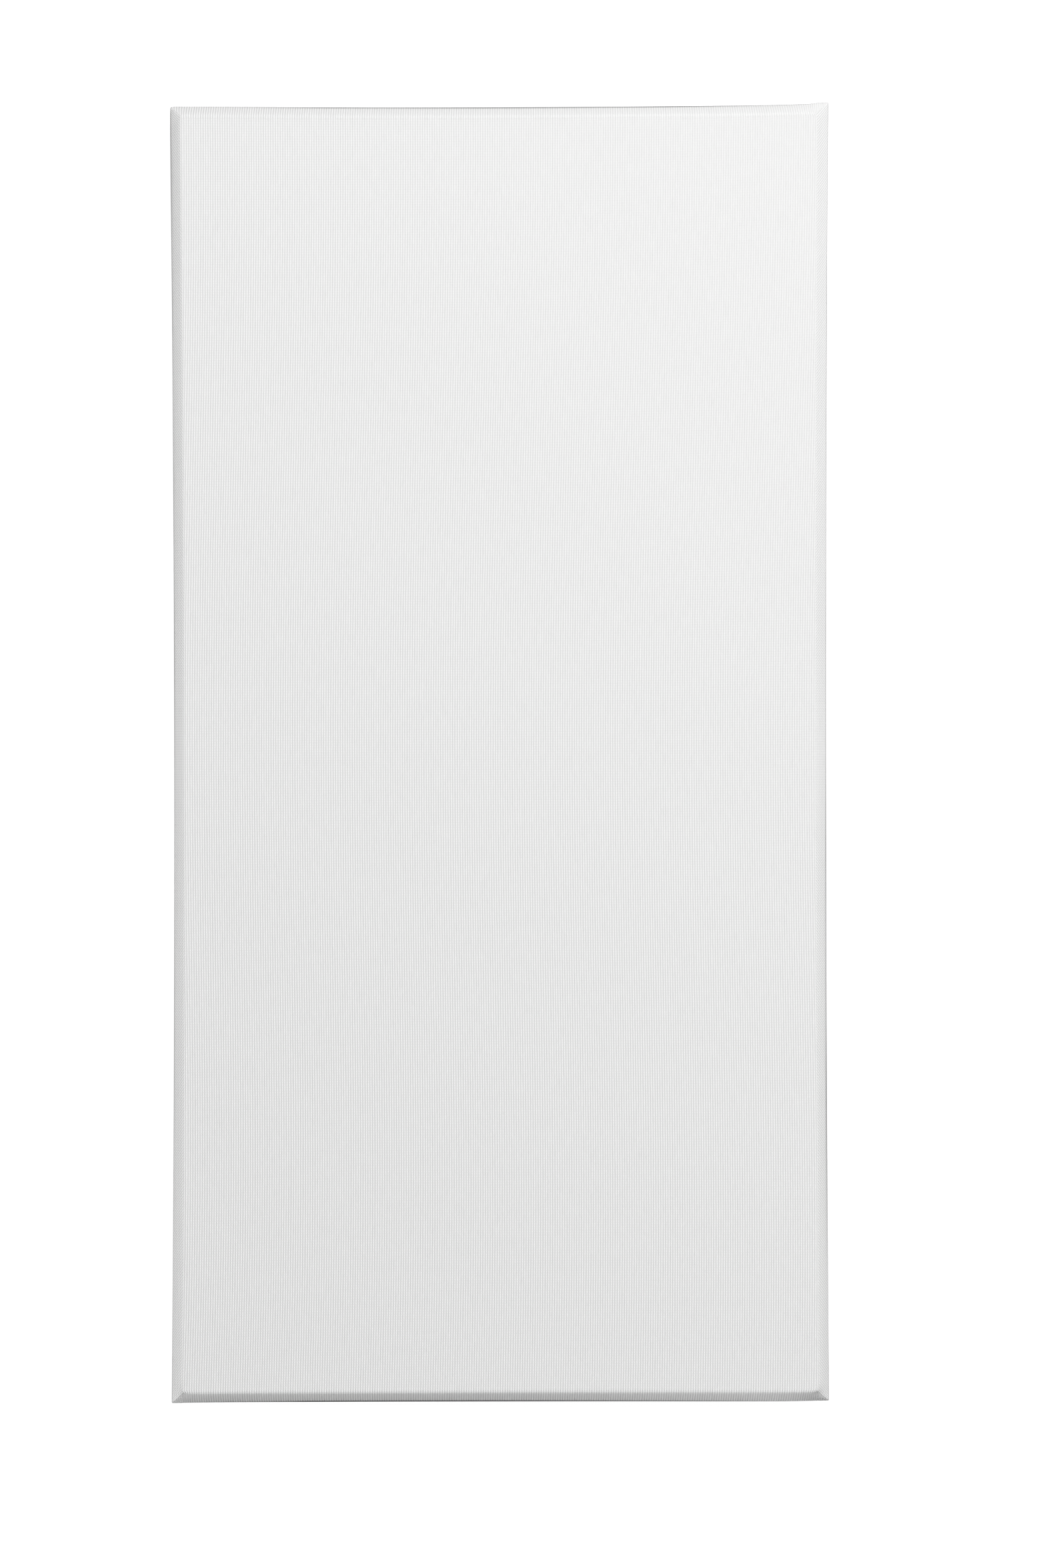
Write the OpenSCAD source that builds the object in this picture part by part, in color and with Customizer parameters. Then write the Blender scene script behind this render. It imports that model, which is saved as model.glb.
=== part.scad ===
// Fabric-wrapped acoustic absorber panel.
// It lies on its back: +Z is out of the face, +Y is the panel's length and
// the origin is at the middle of the back.

/* [Panel] */
// Width of the finished panel over the cloth
panel_w = 614; // [300:1:1220]
// Length of the finished panel over the cloth, without the corner folds
panel_l = 1210; // [300:1:2440]
// Thickness of the finished panel from the hem to the face
panel_t = 51; // [25:1:102]
// Radius of the four upright corner edges, measured over the cloth
corner_r = 2.5; // [2:0.5:10]

/* [Front edge] */
// Width of the bevel round the face, seen from the front
bevel_w = 12.7; // [8:0.1:25]
// Depth of the bevel down the sides
bevel_d = 12.7; // [8:0.1:16]
// Radius of the cloth over the creases on both sides of the bevel
crease_r = 6; // [2:0.5:10]

/* [Back edge] */
// Radius of the cloth where it turns from the sides onto the back
turn_r = 2; // [1.5:0.1:5]

/* [Cloth] */
// Thickness of the cloth
cloth_t = 1; // [0.4:0.1:1.4]
// Width of the hem that is turned over onto the back
hem_w = 40; // [20:1:100]
// Opening of the cut mitre where two hems meet
mitre_gap = 1.2; // [0.4:0.1:3]
// Distance from each corner at which the cut mitre ends
mitre_end = 7; // [4:0.5:15]
// Width of the cloth lapped round each corner onto the short side, at the foot of the bevel
fold_top_w = 9; // [4:0.5:20]
// Width of the same lap at the back
fold_back_w = 14; // [4:0.5:30]

/* [Colours] */
// Colour of the cloth
cloth_colour = "white"; // [white, whitesmoke, lightgray]
// Colour of the glass wool
wool_colour = "khaki"; // [khaki, wheat, palegoldenrod]

/* [Hidden] */

// Sides of a full circle in the rounded creases and corners
round_fn = 64;
// Distance that a cutter runs past the face it cuts
cut_over = 1;

// Slope of the bevel from the face and its length down the slope
bevel_angle = atan2(bevel_d, bevel_w);
bevel_slope = norm([bevel_w, bevel_d]);

// The board is the wrapped panel less one cloth all round, so each bevel keeps
// its slope and loses a little of its width and depth
board_w = panel_w - 2 * cloth_t;
board_l = panel_l - 2 * cloth_t;
board_t = panel_t - 2 * cloth_t;
bevel_loss = cloth_t * (bevel_w + bevel_d - bevel_slope);
board_bevel_w = bevel_w - bevel_loss / bevel_d;
board_bevel_d = bevel_d - bevel_loss / bevel_w;

// A folded corner has one more layer of the same cloth on the short side
fold_t = cloth_t;

// Section across the panel: bevelled at the front, with an arc tangent to both
// faces at each crease and a smaller one at the back edge
module bevelled_section(span, height, across, down, crease, turn) {
    half = span / 2;
    angle = atan2(down, across);
    slope = [cos(angle), -sin(angle)];
    face_reach = crease * tan(angle / 2);
    side_reach = crease * tan((90 - angle) / 2);
    face_crease = [half - across, height];
    side_crease = [half, height - down];
    right_side = [
        [half - turn, 0],
        [half, turn],
        [half, side_crease.y - side_reach],
        side_crease - side_reach * slope,
        face_crease + face_reach * slope,
        [face_crease.x - face_reach, height]
    ];
    left_side = [for (i = [len(right_side) - 1:-1:0]) [-right_side[i].x, right_side[i].y]];
    polygon(concat(right_side, left_side));
    for (side = [-1, 1]) {
        translate([side * (face_crease.x - face_reach), height - crease])
            circle(crease, $fn = round_fn);
        translate([side * (half - crease), side_crease.y - side_reach])
            circle(crease, $fn = round_fn);
        translate([side * (half - turn), turn])
            circle(turn, $fn = round_fn);
    }
}

// Plan of the panel: a rectangle with its four corners eased
module eased_plan(width, length, radius) {
    square([width - 2 * radius, length], center = true);
    square([width, length - 2 * radius], center = true);
    for (x = [-1, 1], y = [-1, 1])
        translate([x * (width / 2 - radius), y * (length / 2 - radius)])
            circle(radius, $fn = round_fn);
}

// Solid with a bevel round its whole front: a section along the length, a
// section across the width and the plan, all three crossed, which mitres the
// bevels into hips at the corners
module bevelled_block(width, length, height, across, down, crease, turn, radius) {
    intersection() {
        rotate([90, 0, 0])
            linear_extrude(length + 2 * cut_over, center = true)
                bevelled_section(width, height, across, down, crease, turn);
        rotate([90, 0, 90])
            linear_extrude(width + 2 * cut_over, center = true)
                bevelled_section(length, height, across, down, crease, turn);
        linear_extrude(height + cut_over)
            eased_plan(width, length, radius);
    }
}

// Outside of the cloth over the board, for a panel of the given length
module wrapped_block(length) {
    bevelled_block(panel_w, length, panel_t, bevel_w, bevel_d, crease_r, turn_r, corner_r);
}

// The board, at its place above the hem
module board_block() {
    translate([0, 0, cloth_t])
        bevelled_block(board_w, board_l, board_t, board_bevel_w, board_bevel_d,
            crease_r - cloth_t, turn_r - cloth_t, corner_r - cloth_t);
}

// Outline of one corner's lap, seen square to the short side: it starts in the
// corner of the face and widens down to the back
module fold_outline() {
    polygon([
        [panel_w / 2 + cut_over, -cut_over],
        [panel_w / 2 + cut_over, panel_t + cut_over],
        [panel_w / 2 - bevel_w, panel_t + cut_over],
        [panel_w / 2 - bevel_w, panel_t],
        [panel_w / 2 - fold_top_w, panel_t - bevel_d],
        [panel_w / 2 - fold_back_w, 0],
        [panel_w / 2 - fold_back_w, -cut_over]
    ]);
}

// Folded cloth at the four corners: the long sides' cloth laps round onto the
// short sides and stands proud there by one thickness
module corner_folds() {
    intersection() {
        wrapped_block(panel_l + 2 * fold_t);
        for (side = [0, 1])
            mirror([side, 0, 0])
                rotate([90, 0, 0])
                    linear_extrude(panel_l + 4 * fold_t, center = true)
                        fold_outline();
    }
}

// Opening inside the hem, through which the bare board shows
module back_window() {
    translate([0, 0, cloth_t / 2])
        cube([panel_w - 2 * hem_w, panel_l - 2 * hem_w, cloth_t + 2 * cut_over], center = true);
}

// Cut mitres between the hems, from the window towards each corner
module mitre_cuts() {
    mitre_l = (hem_w - mitre_end) * sqrt(2) + mitre_gap;
    for (x = [-1, 1], y = [-1, 1])
        translate([x * (panel_w / 2 - mitre_end), y * (panel_l / 2 - mitre_end), cloth_t / 2])
            rotate([0, 0, atan2(-y, -x)])
                translate([0, -mitre_gap / 2, -cloth_t / 2 - cut_over])
                    cube([mitre_l, mitre_gap, cloth_t + 2 * cut_over]);
}

// Rigid glass-wool board with its bevelled front
module core_board() {
    color(wool_colour)
        board_block();
}

// One cloth over the face, bevels and sides, folded at the corners, with its
// mitred hem on the back
module fabric_cover() {
    color(cloth_colour)
        difference() {
            union() {
                wrapped_block(panel_l);
                corner_folds();
            }
            board_block();
            back_window();
            mitre_cuts();
        }
}

core_board();
fabric_cover();
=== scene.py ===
"""Fabric-wrapped acoustic absorber panel, lying on its back and seen from straight above.

All lengths are in metres. +Z is out of the face and +Y is the panel's length.
"""

import logging
import math
from dataclasses import astuple, dataclass, field
from enum import Enum

import bmesh
import bpy
from mathutils import Euler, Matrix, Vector, noise


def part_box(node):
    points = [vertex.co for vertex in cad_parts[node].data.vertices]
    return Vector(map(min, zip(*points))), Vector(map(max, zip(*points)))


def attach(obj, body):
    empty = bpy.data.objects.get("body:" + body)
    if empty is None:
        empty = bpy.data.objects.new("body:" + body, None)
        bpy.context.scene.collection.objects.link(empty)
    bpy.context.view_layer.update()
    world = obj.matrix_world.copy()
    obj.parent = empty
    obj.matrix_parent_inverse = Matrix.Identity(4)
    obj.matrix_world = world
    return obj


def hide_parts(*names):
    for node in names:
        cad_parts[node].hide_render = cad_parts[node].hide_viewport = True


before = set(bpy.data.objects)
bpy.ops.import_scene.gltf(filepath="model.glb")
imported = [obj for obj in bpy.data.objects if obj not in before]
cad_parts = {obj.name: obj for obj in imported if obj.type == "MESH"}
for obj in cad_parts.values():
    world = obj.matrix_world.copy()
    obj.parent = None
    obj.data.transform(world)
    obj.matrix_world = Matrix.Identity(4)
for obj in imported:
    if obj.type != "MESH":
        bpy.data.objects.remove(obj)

log = logging.getLogger("absorber_panel")

COVER_NODE = "fabric_cover"
BOARD_NODE = "core_board"
RUN_LAYER = "run"
CLOTH_UV = "cloth"
PLAN_UV = "plan"
PAINTED_FOOT_SHADE = "painted_foot_shade"
TINY = 1e-6
ON_DIAGONAL = 1e-4
HALF = 0.5
WHITE = (1.0, 1.0, 1.0, 1.0)
Colour = tuple[float, float, float, float]
Triple = tuple[float, float, float]
Socket = bpy.types.NodeSocket


class Corner(Enum):
    """Corners of the panel, each with its signs along X and Y."""

    TOP_LEFT = (-1, 1)
    TOP_RIGHT = (1, 1)
    BOTTOM_LEFT = (-1, -1)
    BOTTOM_RIGHT = (1, -1)

    @classmethod
    def of(cls, point: Vector) -> "Corner":
        """The corner whose quarter of the panel a point lies in."""
        return cls((1 if point.x > 0 else -1, 1 if point.y > 0 else -1))


def by_corner(*values: float) -> dict[Corner, float]:
    """Give each corner its own value, as the default of a dataclass's field.

    Args:
        *values: Values for the corners, in the order that Corner has them in.

    Returns:
        The field.
    """
    return field(default_factory=lambda: dict(zip(Corner, values)))


class Part(Enum):
    """Which stretch of the one cloth a face of its mesh belongs to."""

    FACE = "face"
    LONG_SIDE = "long side"
    SHORT_SIDE = "short side"


@dataclass(frozen=True)
class PanelSizes:
    """Sizes of the wrapped panel.

    The overall sizes come from the construction model, and the rest repeats its
    driving dimensions. The bevel is bowed a little, as the stretched cloth bows it.

    Attributes:
        width: Width over the cloth.
        length: Length over the cloth, without the corner folds.
        thickness: Height of the face above the back.
        bevel: Width and depth of the bevel.
        crease_radius: Radius of the cloth over the creases on both sides of the bevel.
        crease_start: How far inside the bevel's edge the cloth begins to turn down.
        bow: Angle that the cloth bows by on each side of the bevel's own slope.
        ease_radius: Radius of the flatter curve with which the cloth starts to turn down.
        ease_turn: Angle that it turns through on that curve.
        turn_radius: Radius of the cloth where it turns onto the back.
        cloth: Thickness of the cloth.
        hem: Width of the hem on the back.
        mitre_gap: Opening between two hems.
        mitre_end: Distance from each corner at which that opening ends.
        fold_top: Width of a corner's lap at the foot of the bevel.
        fold_back: Width of the lap at the back.
    """

    width: float
    length: float
    thickness: float
    bevel: float = 0.0127
    crease_radius: float = 0.005
    crease_start: float = 0.0003
    bow: float = math.radians(5)
    ease_radius: float = 0.0105
    ease_turn: float = math.radians(10)
    turn_radius: float = 0.002
    cloth: float = 0.001
    hem: float = 0.040
    mitre_gap: float = 0.0012
    mitre_end: float = 0.007
    fold_top: float = 0.009
    fold_back: float = 0.014

    @classmethod
    def from_frame(cls) -> "PanelSizes":
        """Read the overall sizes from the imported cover.

        Returns:
            The sizes, with the length measured without the corner folds.
        """
        low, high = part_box(COVER_NODE)
        folds = 2 * cls.cloth
        return cls(high[0] - low[0], high[1] - low[1] - folds, high[2] - low[2])

    @property
    def crease_turn(self) -> float:
        """Angle that the cloth turns through at each crease."""
        return math.pi / 4 - self.bow

    @property
    def bow_radius(self) -> float:
        """Radius of the bowed bevel between its creases."""
        turn = self.crease_turn
        creases = self.crease_radius * (math.sin(turn) + 1 - math.cos(turn))
        chord = (self.bevel + self.crease_start - creases) * math.sqrt(2)
        return chord / (2 * math.sin(self.bow))

    @property
    def foot_out(self) -> float:
        """How far the foot of the bevel lies outside the flat face."""
        eased = (self.ease_radius - self.crease_radius) * math.sin(self.ease_turn)
        return self.bevel + self.crease_start + eased

    @property
    def foot_height(self) -> float:
        """Height of the foot of the bevel."""
        eased = (self.ease_radius - self.crease_radius) * (1 - math.cos(self.ease_turn))
        return self.thickness - self.bevel - self.crease_start - eased

    @property
    def face_x(self) -> float:
        """Half the width of the flat face inside the creases."""
        return self.width / 2 - self.foot_out

    @property
    def face_y(self) -> float:
        """Half the length of the flat face inside the creases."""
        return self.length / 2 - self.foot_out

    @property
    def flat_size(self) -> tuple[float, float]:
        """Width and length that the cloth was cut to before it was stretched."""
        run = self.wrap_run()
        return 2 * (self.face_x + run), 2 * (self.face_y + run)

    def bevel_run(self) -> float:
        """Length of cloth from the edge of the flat face to the foot of the bevel."""
        eased = (self.ease_radius - self.crease_radius) * self.ease_turn
        return eased + 2 * (self.crease_radius * self.crease_turn + self.bow_radius * self.bow)

    def wrap_run(self) -> float:
        """Length of cloth from the edge of the flat face to the cut edge of the hem."""
        return WrapPath.over_edge(self, 0.0).steps[-1].run


@dataclass(frozen=True)
class WrapStep:
    """One stop along the cloth's way over the edge of the board.

    Attributes:
        out: How far outside the flat face it lies.
        height: Its height.
        run: Length of cloth from the edge of the flat face to it.
    """

    out: float
    height: float
    run: float


@dataclass
class WrapPath:
    """The cloth's way from the edge of the flat face round to the back, as a section.

    The constants count the steps on each of its stretches.

    Attributes:
        steps: The stops reached so far.
        heading: Direction of the next step, in radians below level.
    """

    EASE_STEPS = 2
    CREASE_STEPS = 3
    BOW_STEPS = 4
    FOOT_STEPS = 4
    SIDE_STEPS = 4
    TURN_STEPS = 3
    HEM_STEPS = 4

    steps: list[WrapStep]
    heading: float = 0.0

    @classmethod
    def over_edge(cls, sizes: PanelSizes, inset: float, hem: bool = True) -> "WrapPath":
        """Lay the path over the crease, bevel, side and back edge.

        Args:
            sizes: Sizes of the wrapped panel.
            inset: How far inside the cloth's outer surface the path runs.
            hem: Whether the path goes on along the back to the hem's cut edge.

        Returns:
            The finished path.
        """
        path = cls([WrapStep(0.0, sizes.thickness - inset, 0.0)])
        path.arc(sizes.ease_radius - inset, sizes.ease_turn, cls.EASE_STEPS)
        path.arc(sizes.crease_radius - inset, sizes.crease_turn - sizes.ease_turn, cls.CREASE_STEPS)
        path.arc(sizes.bow_radius - inset, 2 * sizes.bow, cls.BOW_STEPS)
        path.arc(sizes.crease_radius - inset, sizes.crease_turn, cls.FOOT_STEPS)
        path.straight(sizes.foot_height - sizes.turn_radius, cls.SIDE_STEPS)
        path.arc(sizes.turn_radius - inset, math.pi / 2, cls.TURN_STEPS)
        if hem:
            path.straight(sizes.mitre_end - sizes.turn_radius, 1)
            path.straight(sizes.hem - sizes.mitre_end, cls.HEM_STEPS)
        return path

    def straight(self, distance: float, count: int) -> None:
        """Go straight on.

        Args:
            distance: How far to go.
            count: Number of steps to take.
        """
        for _ in range(count):
            self._step(distance / count, self.heading)

    def arc(self, radius: float, turn: float, count: int) -> None:
        """Turn downwards along an arc.

        Args:
            radius: Radius of the arc.
            turn: Angle turned through, in radians.
            count: Number of steps to take.
        """
        part = turn / count
        chord = 2 * radius * math.sin(part / 2)
        for _ in range(count):
            self._step(chord, self.heading + part / 2)
            self.heading += part

    def _step(self, distance: float, heading: float) -> None:
        """Add one stop.

        Args:
            distance: How far it lies from the last one.
            heading: In which direction, in radians below level.
        """
        last = self.steps[-1]
        out = last.out + distance * math.cos(heading)
        height = last.height - distance * math.sin(heading)
        self.steps.append(WrapStep(out, height, last.run + distance))


@dataclass(frozen=True)
class StretchedShape:
    """How the stretched cloth draws the board's edges in and rounds its hips.

    Attributes:
        half_width: Half the panel's width.
        half_length: Half the panel's length.
        draw_left: How far the left side is drawn in, half way along.
        draw_right: The same for the right side.
        draw_top: The same for the top.
        draw_bottom: The same for the bottom.
        slant_top: How much shorter the panel is at its left side than at its right.
        hip_round: How far the hip between two bevels is drawn in, half way down.
        side_round: How far the upright corner edge is drawn in.
        round_reach: Distance along the edge over which the rounding fades out.
        twist_left: How much lower the foot of the left bevel lies at the top, and higher
            at the bottom.
        twist_right: The same for the right bevel, the other way round.
        lift_bottom: How much higher the foot of the bottom bevel lies towards the right.
        lift_draw: Share of that lift by which it is drawn in as well.
        swell: Depth of the face's slow unevenness.
        swell_scale: Its scale, in features to the metre.
        seed: Where its noise is read.
    """

    half_width: float
    half_length: float
    draw_left: float = 0.0032
    draw_right: float = 0.0025
    draw_top: float = 0.0019
    draw_bottom: float = 0.0006
    slant_top: float = 0.0010
    hip_round: dict[Corner, float] = by_corner(0.0010, 0.0026, 0.0036, 0.0044)
    side_round: dict[Corner, float] = by_corner(0.0008, 0.0, 0.0, 0.0)
    round_reach: float = 0.0110
    twist_left: float = 0.0012
    twist_right: float = 0.0052
    lift_bottom: float = 0.0034
    lift_draw: float = 0.24
    swell: float = 0.00022
    swell_scale: float = 7.0
    seed: float = 3.7

    def drawn(self, point: Vector) -> Vector:
        """Move a point of the ideal panel to where the stretched panel has it.

        Args:
            point: Place on the panel with straight edges.

        Returns:
            Its place on the stretched panel.
        """
        across = point.x / self.half_width
        along = point.y / self.half_length
        draw_x = self.draw_right if point.x > 0 else self.draw_left
        draw_y = self.draw_top if point.y > 0 else self.draw_bottom
        moved = point.copy()
        moved.x -= across * draw_x * max(0.0, 1 - along * along)
        moved.y -= along * draw_y * max(0.0, 1 - across * across)
        moved.y -= self.slant_top * max(0.0, along) * (1 - across) / 2
        return moved

    def rounding(self, point: Vector, out: float, foot: float) -> Vector:
        """Draw the hips and the upright corner edges in towards the middle.

        Args:
            point: Place on the bevel or the side, with straight edges.
            out: How far it lies outside the flat face.
            foot: How far the foot of the bevel lies outside the flat face.

        Returns:
            Its move, which is none away from the corners.
        """
        corner = Corner.of(point)
        side, end = corner.value
        edge = foot - out
        away = (self.half_width - edge - abs(point.x)) + (self.half_length - edge - abs(point.y))
        down = max(0.0, min(1.0, out / foot))
        depth = self.hip_round[corner] * math.sin(math.pi * down) ** 2
        depth += self.side_round[corner] * down
        depth *= max(0.0, 1 - away / self.round_reach) ** 2
        return Vector((-side * depth, -end * depth, 0.0)) / math.sqrt(2)

    def twist(self, point: Vector, down: float) -> Vector:
        """Lower or raise the foot of a long bevel, which makes it steeper or flatter.

        Args:
            point: Place with straight edges.
            down: Share of the way from the flat face to the foot, or up from the back.

        Returns:
            Its move, up or down.
        """
        along = point.y / self.half_length
        rise = self.twist_right if point.x > 0 else -self.twist_left
        return Vector((0.0, 0.0, rise * along * down))

    def lift(self, point: Vector, down: float) -> Vector:
        """Raise the foot of the bottom bevel towards its right end, which makes it flatter.

        Args:
            point: Place with straight edges.
            down: Share of the way from the flat face to the foot, or up from the back.

        Returns:
            Its move, up and a little inwards.
        """
        across = max(0.0, point.x / self.half_width)
        rise = self.lift_bottom * across * down if point.y < 0 else 0.0
        return Vector((0.0, rise * self.lift_draw, rise))

    def swelling(self, point: Vector) -> float:
        """Slow unevenness of the board under the cloth, always inwards.

        Args:
            point: Place on the panel.

        Returns:
            Depth of the dip there.
        """
        place = Vector((point.x, point.y, self.seed)) * self.swell_scale
        return self.swell * (HALF + HALF * noise.noise(place))


class PanelMesh:
    """Builds the shape that the board and its cloth share: a face with a wrapped edge.

    EDGE_BIAS is how much the strips are crowded towards the edges, and TWIST_FADE the
    distance from a hip over which the long bevel's twist fades out on a short one.
    """

    EDGE_BIAS = 0.93
    TWIST_FADE = 0.06

    def __init__(self, sizes: PanelSizes, path: WrapPath, columns: int, rows: int) -> None:
        """Start a mesh.

        Args:
            sizes: Sizes of the wrapped panel.
            path: Section that the edge follows.
            columns: Strips across the face.
            rows: Strips along the face.
        """
        self.sizes = sizes
        self.path = path
        self.columns = columns
        self.rows = rows
        self.face_x = sizes.face_x
        self.face_y = sizes.face_y
        self.bm = bmesh.new()
        self.run = self.bm.verts.layers.float.new(RUN_LAYER)

    def add_flat(self, half_x: float, half_y: float, height: float, flip: bool = False) -> list:
        """Add a flat grid whose strips get narrower towards its edges.

        Args:
            half_x: Half its width.
            half_y: Half its length.
            height: Its height.
            flip: Whether it faces down.

        Returns:
            Its vertices.
        """
        made = bmesh.ops.create_grid(
            self.bm, x_segments=self.columns, y_segments=self.rows, size=1.0
        )["verts"]
        for vert in made:
            vert.co.x = half_x * self.crowded(vert.co.x)
            vert.co.y = half_y * self.crowded(vert.co.y)
            vert.co.z = height
        if flip:
            faces = {face for vert in made for face in vert.link_faces}
            bmesh.ops.reverse_faces(self.bm, faces=list(faces))
        return made

    def crowded(self, share: float) -> float:
        """Move a share from -1 to 1 towards its nearer end, to narrow the strips there."""
        return (1 - self.EDGE_BIAS) * share + self.EDGE_BIAS * math.sin(share * math.pi / 2)

    def wrap_edge(self) -> None:
        """Extrude the face's outline along the path, one ring for each stop."""
        edges = [edge for edge in self.bm.edges if edge.is_boundary]
        start = self.path.steps[0]
        for step in self.path.steps[1:]:
            made = bmesh.ops.extrude_edge_only(self.bm, edges=edges)["geom"]
            verts = [item for item in made if isinstance(item, bmesh.types.BMVert)]
            scale_x = (self.face_x + step.out) / (self.face_x + start.out)
            scale_y = (self.face_y + step.out) / (self.face_y + start.out)
            for vert in verts:
                vert.co.x *= scale_x
                vert.co.y *= scale_y
                vert.co.z = step.height
                vert[self.run] = step.run
            ring = set(verts)
            edges = [
                item
                for item in made
                if isinstance(item, bmesh.types.BMEdge) and set(item.verts) <= ring
            ]
            start = step
        bmesh.ops.recalc_face_normals(self.bm, faces=self.bm.faces)

    def out_of(self, point: Vector) -> float:
        """How far outside the flat face a point lies, seen from the front."""
        return max(abs(point.x) - self.face_x, abs(point.y) - self.face_y)

    def rounded(self, point: Vector, shape: StretchedShape, inset: float = 0.0) -> Vector:
        """Where a point goes when the hips and upright edges are rounded.

        Args:
            point: Place with straight edges and sharp hips.
            shape: How the stretched cloth shapes the panel.
            inset: How far inside the cloth's outer surface the mesh lies.

        Returns:
            Its place, unchanged on the back and on the face.
        """
        out = self.out_of(point) + inset
        if out < TINY or point.z < TINY + inset:
            return point
        foot_out = self.sizes.foot_out
        moved = point + shape.rounding(point, out, foot_out)
        up = (point.z - inset) / (self.sizes.thickness - foot_out)
        from_hip = max(0.0, self.face_x + out - inset - abs(point.x))
        near = max(0.0, 1 - from_hip / self.TWIST_FADE) ** 2
        down = min(1.0, up, (out / foot_out) ** 2)
        return moved + shape.twist(point, near * down) + shape.lift(point, (1 - near) * down)


class Shader:
    """A node tree with short ways to add and join its nodes."""

    def __init__(self, tree: bpy.types.NodeTree) -> None:
        """Start on an empty tree.

        Args:
            tree: The material's or the group's node tree.
        """
        self.tree = tree
        tree.nodes.clear()

    def node(
        self, kind: str, inputs: dict[str | int, object] | None = None, **settings: object
    ) -> bpy.types.Node:
        """Add a node.

        Args:
            kind: Blender's name for the node's type.
            inputs: Sockets or constants for its inputs, by the input's name or number.
            **settings: Properties to set on it before its inputs.

        Returns:
            The node.
        """
        made = self.tree.nodes.new(kind)
        for name, value in settings.items():
            setattr(made, name, value)
        for name, value in (inputs or {}).items():
            self.feed(made.inputs[name], value)
        return made

    def feed(self, socket: Socket, value: object) -> None:
        """Link a socket to another node's output, or set it to a constant.

        Args:
            socket: The input that is fed.
            value: The other node's output, or the constant.
        """
        if isinstance(value, Socket):
            self.tree.links.new(value, socket)
        else:
            socket.default_value = value

    def maths(self, operation: str, *values: object) -> Socket:
        """Work on numbers.

        Args:
            operation: Blender's name for the operation.
            *values: Sockets or constants that it works on.

        Returns:
            The result's socket.
        """
        return self.node("ShaderNodeMath", dict(enumerate(values)), operation=operation).outputs[0]

    def total(self, *values: object) -> Socket:
        """Add several values up.

        Args:
            *values: Sockets, and constants after the first of them.

        Returns:
            The sum's socket.
        """
        result = values[0]
        for value in values[1:]:
            result = self.maths("ADD", result, value)
        return result

    def weighted(self, *terms: tuple[float, object]) -> Socket:
        """Add up sockets, each with its own weight."""
        return self.total(*(self.maths("MULTIPLY", socket, weight) for weight, socket in terms))

    def wave(self, turns: object) -> Socket:
        """Cosine of a number of full turns."""
        return self.maths("COSINE", self.maths("MULTIPLY", turns, 2 * math.pi))

    def split(self, vector: object) -> tuple[Socket, Socket]:
        """Take X and Y out of a vector."""
        made = self.node("ShaderNodeSeparateXYZ", {0: vector})
        return made.outputs["X"], made.outputs["Y"]

    def noise(self, vector: object, scale: Triple, detail: float = 2.0) -> Socket:
        """Noise from 0 to 1 with its middle at a half.

        Args:
            vector: Where it is read.
            scale: Its features to the metre along each axis.
            detail: Number of finer octaves.

        Returns:
            The noise's socket.
        """
        place = self.node("ShaderNodeMapping", {"Vector": vector, "Scale": scale})
        read = {"Vector": place.outputs["Vector"], "Scale": 1.0, "Detail": detail}
        return self.node("ShaderNodeTexNoise", read).outputs["Fac"]

    def centred_noise(self, vector: object, scale: Triple, detail: float = 2.0) -> Socket:
        """Noise round 0, read as noise() reads it."""
        return self.maths("SUBTRACT", self.noise(vector, scale, detail), HALF)

    def ranged(
        self,
        value: object,
        start: float,
        end: float,
        low: float = 0.0,
        high: float = 1.0,
        kind: str = "LINEAR",
    ) -> Socket:
        """Map a stretch of a value onto another, and hold it at its ends outside.

        Args:
            value: The value.
            start: Where the stretch starts.
            end: Where it ends.
            low: The result at its start.
            high: The result at its end.
            kind: Blender's name for the way between them.

        Returns:
            The result's socket.
        """
        ends = {"From Min": start, "From Max": end, "To Min": low, "To Max": high}
        made = self.node("ShaderNodeMapRange", {"Value": value, **ends}, interpolation_type=kind)
        return made.outputs["Result"]

    def mixed(self, share: object, first: Colour, second: Colour) -> Socket:
        """Mix two colours, the second by the given share."""
        sides = {"Factor": share, "A": first, "B": second}
        return self.node("ShaderNodeMix", sides, data_type="RGBA").outputs["Result"]

    def surface(self, colour: object, height: object, relief: float, finish: dict) -> None:
        """End a material with its surface.

        Args:
            colour: Colour of the surface.
            height: Height of its relief.
            relief: Depth that a height of 1 stands for.
            finish: Its other inputs, by their names.
        """
        bump = self.node("ShaderNodeBump", {"Height": height, "Strength": 1.0, "Distance": relief})
        given = {"Base Color": colour, "Normal": bump.outputs["Normal"], **finish}
        made = self.node("ShaderNodeBsdfPrincipled", given)
        self.node("ShaderNodeOutputMaterial", {"Surface": made.outputs[0]})


def new_material(name: str) -> tuple[bpy.types.Material, Shader]:
    """Start a material.

    Args:
        name: Its name.

    Returns:
        The material and its empty node tree.
    """
    material = bpy.data.materials.new(name)
    material.use_nodes = True
    return material, Shader(material.node_tree)


@dataclass(frozen=True)
class WeaveWeights:
    """How much each part of the weave adds to its height or its lightness.

    Attributes:
        rib: The ribs.
        crossing: The crests where a bead lies on a rib.
        bead: The beads.
        fibre: The loose fibres.
        slub: The thicker stretches of the yarns.
        slant: The slanting yarns.
    """

    rib: float
    crossing: float
    bead: float
    fibre: float
    slub: float
    slant: float


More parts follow.
